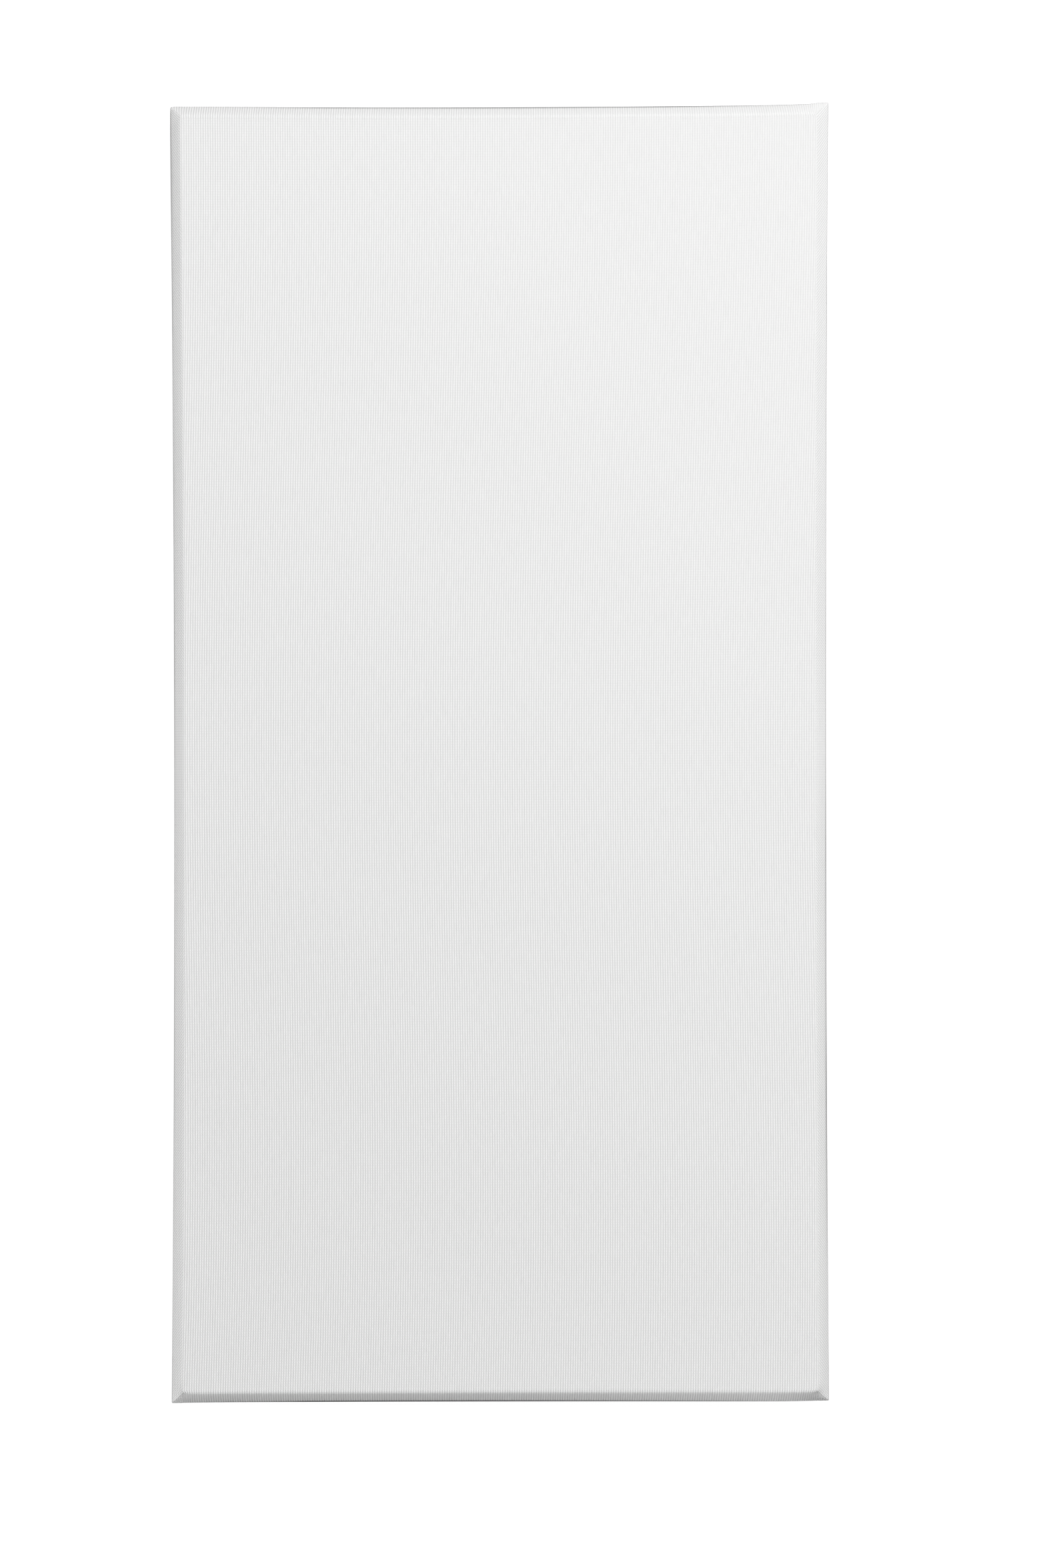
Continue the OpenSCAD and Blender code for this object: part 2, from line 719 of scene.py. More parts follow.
@dataclass(frozen=True)
class RibbedCloth:
    """White cloth with fine ribs along the panel and a row of beads on each rib.

    Scales are in features to the metre along each axis.

    Attributes:
        face_half: Half the width of the flat face, past which the ribs are pulled flat.
        end_half: Half the length of the flat face, past which the ribs are pulled straight.
        rib_pitch: Distance between ribs.
        bead_pitch: Distance between the beads on a rib.
        relief: Depth of the relief that a height of 1 stands for.
        heights: What each part of the weave adds to the relief.
        lights: What each part of the weave adds to how light the cloth looks: the painted
        shade of its hollows and the yarn's own uneven tone.
        white: Colour of the ribs' crests.
        gap_shade: Shade of the gaps between ribs, as a share of the crests' colour.
        slack_lean: How much the ribs grow, to the metre, along X and Y.
        slack_twist: How much that growth along Y changes, to the metre, along X.
        pulled_flat: Share of the relief that is left on the long sides.
        sides_fuzz: Height of the loose fibres on the long sides, as a share of that on the face.
        sides_slant: Height of the slanting yarns that show where the ribs are pulled flat.
        slant_turn: How near the middle they change their slant, as an area.
        slant_strokes: Number of slanting yarns to each rib.
        slant_sink: How far their middle lies below the cloth's, which also darkens the long
        sides with painted shade.
        pulled_past: How far past the edge of the face the relief changes.
        pulled_over: Distance over which it changes.
        wander: How far the yarns stray from their lines.
        slow_stray: Scale of the yarns' slow straying.
        quick_stray: Scale of their quick straying.
        quick_share: Share of the quick straying.
        jog: How far beads on neighbouring ribs are out of step, in bead pitches.
        fibre_scale: Scale of the loose fibres.
        fibre_detail: Number of finer octaves in them.
        slub_scale: Scale of the thicker stretches of the yarns.
        ends_ribs: Height of the ribs over the ends, as a share of that on the face.
        ends_beads: Share of the beads' height that is left there.
        beads_from: Slack at which the beads begin to stand up.
        beads_full: Slack at which they have their full height.
        under_start: How far the cloth has turned away where the painted shade at its foot begins.
        under_end: How far it has turned away where that painted shade is darkest.
        under_shade: Share of its colour that the painted shade takes away there.
        roughness: Roughness of the yarn.
        specular: Strength of its reflection.
        sheen: Weight of the fuzz's sheen.
        sheen_roughness: Roughness of the sheen.
    """

    face_half: float
    end_half: float
    rib_pitch: float = 0.00224
    bead_pitch: float = 0.00234
    relief: float = 0.00040
    heights: WeaveWeights = WeaveWeights(0.41, 0.09, 0.08, 0.09, 0.14, 0.07)
    lights: WeaveWeights = WeaveWeights(0.265, 0.05, 0.046, 0.10, 0.16, 0.22)
    white: Triple = (0.95, 0.95, 0.948)
    gap_shade: float = 0.64
    slack_lean: tuple[float, float] = (-0.50, -0.55)
    slack_twist: float = -0.55
    pulled_flat: float = 0.36
    sides_fuzz: float = 0.9
    sides_slant: float = 1.2
    slant_turn: float = 0.03
    slant_strokes: float = 0.8
    slant_sink: float = 0.2
    pulled_past: float = 0.0030
    pulled_over: float = 0.003
    wander: float = 0.0003
    slow_stray: Triple = (45.0, 45.0, 1.0)
    quick_stray: Triple = (260.0, 260.0, 1.0)
    quick_share: float = 0.5
    jog: float = 0.07
    fibre_scale: Triple = (1000.0, 520.0, 1.0)
    fibre_detail: float = 3.0
    slub_scale: Triple = (420.0, 60.0, 1.0)
    ends_ribs: float = 1.30
    ends_beads: float = 0.35
    beads_from: float = 0.30
    beads_full: float = 0.80
    under_start: float = 0.46
    under_end: float = 0.60
    under_shade: float = 0.97
    roughness: float = 0.92
    specular: float = 0.2
    sheen: float = 0.08
    sheen_roughness: float = 0.6

    def weave_group(self) -> bpy.types.NodeTree:
        """Build the weave as a node group over the cloth's own coordinates.

        Returns:
            A group that puts out the relief's height and how light the cloth looks, which
            is painted shade in the weave's hollows with the yarn's own tone.
        """
        tree = bpy.data.node_groups.new("rib_and_bead_weave", "ShaderNodeTree")
        shader = Shader(tree)
        tree.interface.new_socket("Cloth", in_out="INPUT", socket_type="NodeSocketVector")
        for name in ("Rib Pitch", "Bead Pitch", "Wander", "Jog", "Ribs", "Beads", "Fuzz", "Slant"):
            tree.interface.new_socket(name, in_out="INPUT", socket_type="NodeSocketFloat")
        for name in ("Height", "Lightness"):
            tree.interface.new_socket(name, in_out="OUTPUT", socket_type="NodeSocketFloat")
        given = shader.node("NodeGroupInput").outputs
        rib, bead = self.counted(shader, given)

        chance = shader.node(
            "ShaderNodeTexWhiteNoise", {"W": shader.maths("ROUND", rib)}, noise_dimensions="1D"
        )
        step = shader.maths("SUBTRACT", chance.outputs["Value"], HALF)
        step = shader.maths("MULTIPLY", step, given["Jog"])
        ribs = shader.maths("MULTIPLY", shader.wave(rib), given["Ribs"])
        beads = shader.wave(shader.maths("ADD", bead, step))
        beads = shader.maths("MULTIPLY", beads, given["Beads"])
        crossing = shader.maths("MULTIPLY", ribs, beads)
        crossing = shader.maths("MULTIPLY", crossing, shader.maths("POWER", given["Ribs"], 2.0))
        fibre = shader.centred_noise(given["Cloth"], self.fibre_scale, self.fibre_detail)
        fibre = shader.maths("MULTIPLY", fibre, given["Fuzz"])
        slub = shader.centred_noise(given["Cloth"], self.slub_scale)
        slant = self.slanting(shader, rib, bead, given["Slant"])

        parts = (ribs, crossing, beads, fibre, slub, slant)
        height = shader.weighted(*zip(astuple(self.heights), parts))
        # How light the cloth looks: painted shade in the weave's hollows, with the yarn's own
        # uneven tone.
        light = shader.weighted(*zip(astuple(self.lights), parts))
        light = shader.node("ShaderNodeClamp", {"Value": shader.maths("ADD", light, HALF)})
        result = {"Height": shader.maths("ADD", height, HALF), "Lightness": light.outputs[0]}
        shader.node("NodeGroupOutput", result)
        return tree

    def counted(self, shader: Shader, given: bpy.types.NodeOutputs) -> tuple[Socket, Socket]:
        """Count the ribs and the beads from the middle, with the yarns straying a little.

        Args:
            shader: The group's shader.
            given: What the group is given.

        Returns:
            The number of ribs across, and of beads along.
        """
        slow = shader.centred_noise(given["Cloth"], self.slow_stray)
        quick = shader.centred_noise(given["Cloth"], self.quick_stray)
        stray = shader.weighted((1.0, slow), (self.quick_share, quick))
        stray = shader.maths("MULTIPLY", stray, given["Wander"])
        across, along = (shader.maths("ADD", side, stray) for side in shader.split(given["Cloth"]))
        rib = shader.maths("DIVIDE", across, given["Rib Pitch"])
        bead = shader.maths("DIVIDE", along, given["Bead Pitch"])
        return rib, bead

    def slanting(self, shader: Shader, rib: object, bead: object, strength: object) -> Socket:
        """Slanting yarns across the ribs and the beads.

        Args:
            shader: The group's shader.
            rib: The number of ribs across.
            bead: The number of beads along.
            strength: How high they stand, below 0 where they slant the other way.

        Returns:
            Their height.
        """
        rows = shader.maths("MULTIPLY", bead, shader.maths("SIGN", strength))
        strokes = shader.maths("MULTIPLY", shader.maths("SUBTRACT", rib, rows), self.slant_strokes)
        slant = shader.maths("SUBTRACT", shader.wave(strokes), self.slant_sink)
        return shader.maths("MULTIPLY", slant, shader.maths("ABSOLUTE", strength))

    def set_strengths(self, shader: Shader, weave: bpy.types.Node) -> None:
        """Set how high each part of the weave stands at each place on the cloth.

        The ribs are higher towards one corner, are pulled flat on the long sides and are
        pulled straight over the ends, which hides the beads there.

        Args:
            shader: The material's shader.
            weave: The weave group's node.
        """
        plan = shader.node("ShaderNodeUVMap", uv_map=PLAN_UV).outputs["UV"]
        x, y = shader.split(plan)
        lean = shader.node(
            "ShaderNodeVectorMath", {0: plan, 1: (*self.slack_lean, 0.0)}, operation="DOT_PRODUCT"
        )
        quarter = shader.maths("MULTIPLY", x, y)
        twist = shader.maths("MULTIPLY", quarter, self.slack_twist)
        # The slack raises the relief and deepens its painted shade towards the bottom-left corner.
        slack = shader.total(lean.outputs["Value"], twist, 1.0)
        pulled = self.face_half + self.pulled_past
        across = self.past(shader, x, pulled, self.pulled_flat)
        along = self.past(shader, y, self.end_half, self.ends_ribs)
        ribs = shader.maths("MULTIPLY", slack, shader.maths("MULTIPLY", across, along))
        shader.feed(weave.inputs["Ribs"], ribs)
        usual = shader.ranged(slack, self.beads_from, self.beads_full)
        hidden = self.past(shader, y, self.end_half, self.ends_beads)
        shader.feed(weave.inputs["Beads"], shader.maths("MULTIPLY", usual, hidden))
        shader.feed(weave.inputs["Fuzz"], self.past(shader, x, pulled, self.sides_fuzz))
        slant = self.past(shader, x, pulled, self.sides_slant, 0.0)
        way = shader.ranged(quarter, -self.slant_turn, self.slant_turn, -1.0)
        shader.feed(weave.inputs["Slant"], shader.maths("MULTIPLY", slant, way))

    def past(
        self, shader: Shader, place: object, half: float, beyond: float, usual: float = 1.0
    ) -> Socket:
        """One share on the face and another past its edge.

        Args:
            shader: The material's shader.
            place: Distance from the panel's middle line.
            half: Half the size of the face in that direction.
            beyond: The share past it.
            usual: The share on the face.

        Returns:
            The share at each place.
        """
        away = shader.maths("ABSOLUTE", place)
        start, end = half - self.pulled_over / 2, half + self.pulled_over / 2
        return shader.ranged(away, start, end, usual, beyond, "SMOOTHSTEP")

    def material(self) -> bpy.types.Material:
        """Build the cloth's material.

        Returns:
            The material.
        """
        material, shader = new_material("white_ribbed_cloth")
        given = {
            "Cloth": shader.node("ShaderNodeUVMap", uv_map=CLOTH_UV).outputs["UV"],
            "Rib Pitch": self.rib_pitch,
            "Bead Pitch": self.bead_pitch,
            "Wander": self.wander,
            "Jog": self.jog,
        }
        weave = shader.node("ShaderNodeGroup", node_tree=self.weave_group())
        for name, value in given.items():
            shader.feed(weave.inputs[name], value)
        self.set_strengths(shader, weave)
        # Painted shade: the weave's hollows get a darker copy of the white.
        gaps = (*(channel * self.gap_shade for channel in self.white), 1.0)
        tone = shader.mixed(weave.outputs["Lightness"], gaps, (*self.white, 1.0))
        # Painted shade: the colour darkens where the foot of the bevel turns away from view.
        seen = shader.node(
            "ShaderNodeVectorMath", {0: tone, "Scale": self.left_by_painted_foot_shade(shader)}, operation="SCALE"
        )
        finish = {
            "Roughness": self.roughness,
            "Specular IOR Level": self.specular,
            "Sheen Weight": self.sheen,
            "Sheen Roughness": self.sheen_roughness,
        }
        shader.surface(seen.outputs["Vector"], weave.outputs["Height"], self.relief, finish)
        return material

    def left_by_painted_foot_shade(self, shader: Shader) -> Socket:
        """Share of the colour left by the painted shade where the cloth turns under at its foot.

        Args:
            shader: The material's shader.

        Returns:
            The share at each place.
        """
        # Painted shade at the foot of the bevel, darker the more the cloth there turns from view.
        facing = shader.node("ShaderNodeLayerWeight", {"Blend": HALF}).outputs["Facing"]
        turned = shader.ranged(facing, self.under_start, self.under_end, 0.0, self.under_shade)
        foot = shader.node("ShaderNodeAttribute", attribute_name=PAINTED_FOOT_SHADE).outputs["Fac"]
        return shader.maths("SUBTRACT", 1.0, shader.maths("MULTIPLY", turned, foot))


@dataclass(frozen=True)
class GlassWool:
    """Pressed glass wool: matted yellow fibres in flat layers.

    Scales are in features to the metre along each axis.

    Attributes:
        light: Colour of the upper fibres.
        dark: Colour of the gaps between them, the wool's yellow with painted shade.
        mat_scales: Scales of the two mats that lie across one another.
        mat_detail: Number of finer octaves in them.
        strand_scale: Scale of the single strands.
        cloud_scale: Scale of the slow change of tone.
        cloud_detail: Number of finer octaves in it.
        strand_height: How much the strands add to the relief.
        tones: How much the mats, the strands and the slow change add to the tone.
        tone_shift: What is added to all of them.
        relief: Depth of the relief that a height of 1 stands for.
        roughness: Roughness of the fibres.
        specular: Strength of their reflection.
    """

    light: Colour = (0.80, 0.66, 0.33, 1.0)
    dark: Colour = (0.52, 0.37, 0.13, 1.0)
    mat_scales: tuple[Triple, ...] = ((210.0, 60.0, 420.0), (70.0, 260.0, 420.0))
    mat_detail: float = 5.0
    strand_scale: Triple = (2400.0, 500.0, 2400.0)
    cloud_scale: Triple = (14.0, 14.0, 14.0)
    cloud_detail: float = 3.0
    strand_height: float = 0.35
    tones: Triple = (1.5, 0.4, 0.5)
    tone_shift: float = -0.7
    relief: float = 0.0012
    roughness: float = 0.95
    specular: float = 0.15

    def material(self) -> bpy.types.Material:
        """Build the glass wool's material.

        Returns:
            The material.
        """
        material, shader = new_material("pressed_glass_wool")
        place = shader.node("ShaderNodeTexCoord").outputs["Object"]
        mats = (shader.noise(place, scale, self.mat_detail) for scale in self.mat_scales)
        mat = shader.maths("MULTIPLY", shader.total(*mats), HALF)
        strands = shader.noise(place, self.strand_scale)
        cloud = shader.noise(place, self.cloud_scale, self.cloud_detail)
        height = shader.total(mat, shader.maths("MULTIPLY", strands, self.strand_height))
        # Partly painted shade: the tone follows the mats' and strands' height, so low places are
        # darker; the slow change is the wool's own uneven tone.
        tone = shader.weighted(*zip(self.tones, (mat, strands, cloud)))
        tone = shader.maths("ADD", tone, self.tone_shift)
        finish = {"Roughness": self.roughness, "Specular IOR Level": self.specular}
        shader.surface(shader.mixed(tone, self.dark, self.light), height, self.relief, finish)
        return material


@dataclass
class ClothCover:
    """The one cloth over the face, bevels and sides, with its folds and hem.

    DIP_FROM and DIP_TO say where the dip beside a lap lies, in widths of the lap's step.

    Attributes:
        sizes: Sizes of the wrapped panel.
        shape: How the stretched cloth shapes it.
        finish: The cloth's finish.
        columns: Strips across the face.
        rows: Strips along the face.
        fold_lip: Width of the step at a lap's edge.
        fold_dip: How far the cloth dips beside it.
        rib_lean: How far the ribs lean over half the panel's length, as a share of it.
        rib_sway: How steeply they sway about that line.
        sway_period: Length of one sway, in halves of the panel's length.
        sway_start: Where the sway crosses that line, in the same measure.
        row_tilt: How steeply the rows of beads rise across the ribs.
        row_bow: How strongly they bow towards the panel's ends.
        row_curl: How strongly they curl up at one side and down at the other.
        corner_reach: Distance over which the weave is pulled aside at a corner.
        corner_pull: How far it is pulled there, as a share of the way past the face.
        foot_rise: Share of the lap's thickness that shows at the foot of the bevel.
        under_left: Strength of the painted shade under the left bevel's foot, at its low end, in
        the middle and at its high end.
        under_right: The same under the right one.
        under_top: The same under the top one.
        under_bottom: The same under the bottom one.
        under_band: How far that shade reaches from the foot.
        under_patches: Scale of its patches, in features to the metre.
        hip_reach: Distance from a hip over which the ribs fan out.
        hip_fan: How much they fan out on the short bevels.
        plan_margin: How far within the face's end a side's relief keeps to the side.
    """

    DIP_FROM = -1.5
    DIP_TO = 0.5

    sizes: PanelSizes
    shape: StretchedShape
    finish: RibbedCloth
    columns: int = 48
    rows: int = 72
    fold_lip: float = 0.0004
    fold_dip: float = 0.0002
    rib_lean: float = 0.006
    rib_sway: float = 0.019
    sway_period: float = 1.66
    sway_start: float = 0.5
    row_tilt: float = 0.003
    row_bow: float = 0.032
    row_curl: float = 0.040
    corner_reach: float = 0.060
    corner_pull: dict[Corner, float] = by_corner(0.0, 0.09, 0.01, 0.03)
    foot_rise: dict[Corner, float] = by_corner(0.10, 0.80, 0.15, 0.15)
    under_left: Triple = (0.1, 0.25, 0.4)
    under_right: Triple = (0.0, 0.5, 0.5)
    under_top: Triple = (0.1, 0.5, 0.1)
    under_bottom: Triple = (0.1, 1.9, 0.0)
    under_band: float = 0.0035
    under_patches: float = 9.0
    hip_reach: float = 0.024
    hip_fan: dict[Corner, float] = by_corner(-0.35, 0.8, 0.6, 1.0)
    plan_margin: float = 0.005

    def build(self) -> bpy.types.Object:
        """Build the cloth as one finished object.

        Returns:
            The cloth, with its thickness and material.
        """
        panel = PanelMesh(self.sizes, WrapPath.over_edge(self.sizes, 0.0), self.columns, self.rows)
        panel.add_flat(panel.face_x, panel.face_y, self.sizes.thickness)
        panel.wrap_edge()
        self.cut_fold_lines(panel)
        self.open_mitres(panel)
        self.lay_uv(panel)
        self.settle(panel)
        return self.finished(panel)

    def cut_fold_lines(self, panel: PanelMesh) -> None:
        """Cut the short sides where each corner's lap ends.

        Args:
            panel: The mesh to cut.
        """
        for corner in Corner:
            side, end = corner.value
            for lip in (-self.fold_lip, 0.0, self.fold_lip):
                faces = [
                    face
                    for face in panel.bm.faces
                    if self.is_short_side(panel, face)
                    and face.calc_center_median().x * side > 0
                    and face.calc_center_median().y * end > 0
                ]
                for top in (True, False):
                    chosen = [
                        face for face in faces if face.is_valid and self.on_bevel(face) == top
                    ]
                    self.cut_at_lap(panel, chosen, side, top, lip)

    def cut_at_lap(
        self, panel: PanelMesh, faces: list, side: int, top: bool, shift: float
    ) -> None:
        """Cut faces along the lap's edge.

        Args:
            panel: The mesh to cut.
            faces: The faces to cut.
            side: 1 on the right and -1 on the left.
            top: Whether the cut is on the bevel, and not on the upright side.
            shift: How far towards the corner the cut lies from the lap's edge.
        """
        sizes = self.sizes
        foot = sizes.thickness - sizes.bevel
        high, low = (sizes.thickness, foot) if top else (foot, 0.0)
        start = Vector((side * (self.lap_edge(high) + shift), 0.0, high))
        end = Vector((side * (self.lap_edge(low) + shift), 0.0, low))
        run = end - start
        geom = set(faces)
        for face in faces:
            geom.update(face.edges)
            geom.update(face.verts)
        bmesh.ops.bisect_plane(
            panel.bm,
            geom=list(geom),
            dist=TINY,
            plane_co=start,
            plane_no=Vector((run.z, 0.0, -run.x)).normalized(),
        )

    def lap_edge(self, height: float) -> float:
        """How far from the panel's middle line the lap's edge lies.

        Args:
            height: Height at which it is asked for.

        Returns:
            Its distance.
        """
        sizes = self.sizes
        foot = sizes.thickness - sizes.bevel
        half = sizes.width / 2
        if height >= foot:
            share = (height - foot) / sizes.bevel
            return half - sizes.fold_top - share * (sizes.bevel - sizes.fold_top)
        share = 1 - height / foot
        return half - sizes.fold_top - share * (sizes.fold_back - sizes.fold_top)

    def on_bevel(self, face: bmesh.types.BMFace) -> bool:
        """Whether a face lies on the bevel, and not on the upright side below it."""
        return face.calc_center_median().z > self.sizes.thickness - self.sizes.bevel

    def is_short_side(self, panel: PanelMesh, face: bmesh.types.BMFace) -> bool:
        """Whether a face lies past the flat face's top or bottom edge and above the hem.

        Args:
            panel: The mesh that it is in.
            face: The face.

        Returns:
            Whether it does.
        """
        middle = face.calc_center_median()
        over_x = abs(middle.x) - panel.face_x
        over_y = abs(middle.y) - panel.face_y
        return over_y > max(over_x, 0.0) and middle.z > TINY

    def open_mitres(self, panel: PanelMesh) -> None:
        """Part the hem along its four diagonals, up to a little short of each corner.

        Args:
            panel: The mesh whose hem is parted.
        """
        sizes = self.sizes
        inner = sizes.mitre_end - TINY
        chosen = []
        for edge in panel.bm.edges:
            ends = [vert.co for vert in edge.verts]
            flat = all(abs(end.z) < TINY for end in ends)
            on_diagonal = all(
                abs((sizes.width / 2 - abs(end.x)) - (sizes.length / 2 - abs(end.y))) < ON_DIAGONAL
                and sizes.width / 2 - abs(end.x) > inner
                for end in ends
            )
            if flat and on_diagonal:
                chosen.append(edge)
        bmesh.ops.split_edges(panel.bm, edges=chosen)

    def part_of(self, panel: PanelMesh, face: bmesh.types.BMFace) -> Part:
        """Say which stretch of the cloth a face belongs to.

        Args:
            panel: The mesh that the face is in.
            face: The face.

        Returns:
            The stretch.
        """
        middle = face.calc_center_median()
        over_x = abs(middle.x) - panel.face_x
        over_y = abs(middle.y) - panel.face_y
        if max(over_x, over_y) < 0 and middle.z > self.sizes.thickness / 2:
            return Part.FACE
        if middle.z < TINY:
            in_x = self.sizes.width / 2 - abs(middle.x)
            in_y = self.sizes.length / 2 - abs(middle.y)
            return Part.LONG_SIDE if in_x < in_y else Part.SHORT_SIDE
        lapped = not self.on_bevel(face) and abs(middle.x) > self.lap_edge(middle.z)
        if over_x > over_y or lapped:
            return Part.LONG_SIDE
        return Part.SHORT_SIDE

    def lay_uv(self, panel: PanelMesh) -> None:
        """Give each corner of each face its place on the flat cloth, in metres.

        Args:
            panel: The mesh, still with straight edges.
        """
        layer = panel.bm.loops.layers.uv.new(CLOTH_UV)
        plan = panel.bm.loops.layers.uv.new(PLAN_UV)
        for face in panel.bm.faces:
            part = self.part_of(panel, face)
            for loop in face.loops:
                flat = self.on_cloth(panel, loop.vert, part)
                loop[layer].uv = self.skewed(panel, flat)
                loop[plan].uv = self.on_plan(panel, flat, part)

    def on_cloth(self, panel: PanelMesh, vert: bmesh.types.BMVert, part: Part) -> Vector:
        """Where a vertex lies on the flat cloth.

        Args:
            panel: The mesh that it is in.
            vert: The vertex.
            part: The stretch of cloth that it is asked for.

        Returns:
            Its place, across the ribs and along them.
        """
        place, run = vert.co, vert[panel.run]
        if part is Part.FACE:
            return Vector((place.x, place.y))
        out = panel.out_of(place)
        foot = self.sizes.foot_out
        slope = self.sizes.bevel_run() - foot
        eased = slope * min(1.0, max(0.0, out / foot))
        on_hem = place.z < TINY
        if part is Part.SHORT_SIDE:
            near = 0.0 if on_hem else self.near_hip(panel.face_x + out - abs(place.x))
            flat_x = abs(place.x) + eased * near * self.hip_fan[Corner.of(place)]
            flat_y = panel.face_y + run
        else:
            round_corner = 0.0 if on_hem else max(0.0, panel.face_x + out - abs(place.x))
            near = 0.0 if on_hem else self.near_hip(panel.face_y + out - abs(place.y))
            flat_x = panel.face_x + run
            flat_y = abs(place.y) + round_corner + eased * near
        return Vector((math.copysign(flat_x, place.x), math.copysign(flat_y, place.y)))

    def on_plan(self, panel: PanelMesh, flat: Vector, part: Part) -> Vector:
        """Where a place on the cloth lies past the face, on its own side only.

        Args:
            panel: The mesh, for the size of its face.
            flat: The place on the flat cloth.
            part: The stretch of cloth that it is on.

        Returns:
            The place, kept within the face along the side's own length.
        """
        plan = flat.copy()
        if part is Part.SHORT_SIDE:
            limit = panel.face_x - self.plan_margin
            plan.x = max(-limit, min(limit, flat.x))
        if part is Part.LONG_SIDE:
            limit = panel.face_y - self.plan_margin
            plan.y = max(-limit, min(limit, flat.y))
        return plan

    def near_hip(self, distance: float) -> float:
        """1 on the hip between two bevels, falling to 0 a little way along the edge."""
        return max(0.0, 1 - distance / self.hip_reach) ** 2

    def skewed(self, panel: PanelMesh, flat: Vector) -> Vector:
        """Shift a place on the cloth as the stretching has skewed it.

        Args:
            panel: The mesh, for the size of its face.
            flat: The place on the cloth.

        Returns:
            The place in the weave that comes to lie there.
        """
        half_length = self.sizes.length / 2
        along = max(-1.0, min(1.0, flat.y / half_length))
        rate = 2 * math.pi / self.sway_period
        sway = self.rib_sway / rate * math.sin(rate * (along - self.sway_start))
        sway += self.rib_lean * along
        pulled = 0.0
        for corner, pull in self.corner_pull.items():
            side, end = corner.value
            reach_x = (side * flat.x - panel.face_x) / self.corner_reach
            past_y = end * flat.y - panel.face_y
            if past_y > 0 and side * flat.x > 0:
                pulled += side * pull * past_y * math.exp(-min(0.0, reach_x) ** 2 / 2)
        across = max(-panel.face_x, min(panel.face_x, flat.x))
        rise = across * (self.row_tilt + across * (self.row_bow * flat.y + across * self.row_curl))
        return Vector((flat.x - sway * half_length + pulled, flat.y - rise))

    def settle(self, panel: PanelMesh) -> None:
        """Move the ideal cloth to how it lies: laps raised, mitres open, edges drawn in.

        Args:
            panel: The mesh to move.
        """
        half_gap = self.sizes.mitre_gap / 2
        # Strength of the shade painted at the foot of the bevel, kept on each vertex.
        under = panel.bm.verts.layers.float.new(PAINTED_FOOT_SHADE)
        for vert in panel.bm.verts:
            place = vert.co.copy()
            vert[under] = self.painted_foot_shade(panel, place)
            place = panel.rounded(place, self.shape)
            if place.z > TINY:
                place.y += math.copysign(self.lap_rise(panel, place), place.y)
            elif vert.is_boundary:
                place += self.mitre_shift(vert, half_gap)
            if place.z > self.sizes.thickness - TINY:
                place.z -= self.shape.swelling(place)
            vert.co = self.shape.drawn(place)

    def painted_foot_shade(self, panel: PanelMesh, place: Vector) -> float:
        """How strongly the painted shade under the foot of the bevel shows at a place.

        Args:
            panel: The mesh that the place is on.
            place: The place, with straight edges.

        Returns:
            The strength, which is 0 away from the foot of the bevel.
        """
        sizes = self.sizes
        off = abs(place.z - sizes.foot_height)
        if off > self.under_band:
            return 0.0
        on_end = abs(place.y) - panel.face_y > abs(place.x) - panel.face_x
        if on_end:
            low, middle, high = self.under_top if place.y > 0 else self.under_bottom
            share = place.x / (sizes.width / 2)
        else:
            low, middle, high = self.under_right if place.x > 0 else self.under_left
            share = place.y / (sizes.length / 2)
        end = high if share > 0 else low
        patch = 1 + noise.noise(place * self.under_patches)
        inward = min(1.0, 2 * (1 - abs(share))) ** 2
        return min(1.0, patch * (end + (middle - end) * inward))

    def lap_rise(self, panel: PanelMesh, place: Vector) -> float:
        """How far the lap lifts the short side's cloth at a place.

        Args:
            panel: The mesh that the place is on.
            place: The place, with straight edges.

        Returns:
            The rise, which is slightly below zero beside the lap.
        """
        if abs(place.y) - panel.face_y < abs(place.x) - panel.face_x - TINY:
            return 0.0
        if abs(place.y) < panel.face_y + TINY:
            return 0.0
        sizes = self.sizes
        at_foot = self.foot_rise[Corner.of(place)]
        foot = sizes.thickness - sizes.bevel
        if place.z > foot:
            share = at_foot * (sizes.thickness - place.z) / sizes.bevel
        else:
            share = at_foot + (1 - at_foot) * (1 - place.z / foot)
        past = abs(place.x) - self.lap_edge(place.z)
        if past < self.fold_lip * self.DIP_FROM:
            return 0.0
        if past < self.fold_lip * self.DIP_TO:
            return -self.fold_dip * share
        return sizes.cloth * share

    def mitre_shift(self, vert: bmesh.types.BMVert, half_gap: float) -> Vector:
        """Which way a vertex on a parted mitre moves off the diagonal.

        Args:
            vert: The vertex.
            half_gap: How far it moves.

        Returns:
            Its move, or none where it isn't on a mitre.
        """
        sizes = self.sizes
        in_x = sizes.width / 2 - abs(vert.co.x)
        in_y = sizes.length / 2 - abs(vert.co.y)
        if abs(in_x - in_y) > ON_DIAGONAL or in_x < sizes.mitre_end + TINY:
            return Vector((0.0, 0.0, 0.0))
        middle = sum((face.calc_center_median() for face in vert.link_faces), Vector())
        middle /= len(vert.link_faces)
        on_long = sizes.width / 2 - abs(middle.x) < sizes.length / 2 - abs(middle.y)
        away = Vector((1.0, -1.0, 0.0)) if on_long else Vector((-1.0, 1.0, 0.0))
        away.x = math.copysign(1.0, vert.co.x) * away.x
        away.y = math.copysign(1.0, vert.co.y) * away.y
        return away * (half_gap / math.sqrt(2))

    def finished(self, panel: PanelMesh) -> bpy.types.Object:
        """Turn the mesh into an object with its thickness, material and declarations.

        Args:
            panel: The settled mesh.

        Returns:
            The object.
        """
        cover = object_from(panel.bm, "cloth_cover")
        cover.data.materials.append(self.finish.material())
        soft = cover.modifiers.new("soft_folds", "SUBSURF")
        soft.levels = soft.render_levels = 1
        soft.boundary_smooth = "PRESERVE_CORNERS"
        wall = cover.modifiers.new("cloth_thickness", "SOLIDIFY")
        wall.thickness = self.sizes.cloth
        wall.offset = -1.0
        wall.use_even_offset = True
        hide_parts(COVER_NODE)
        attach(cover, "root")
        return cover


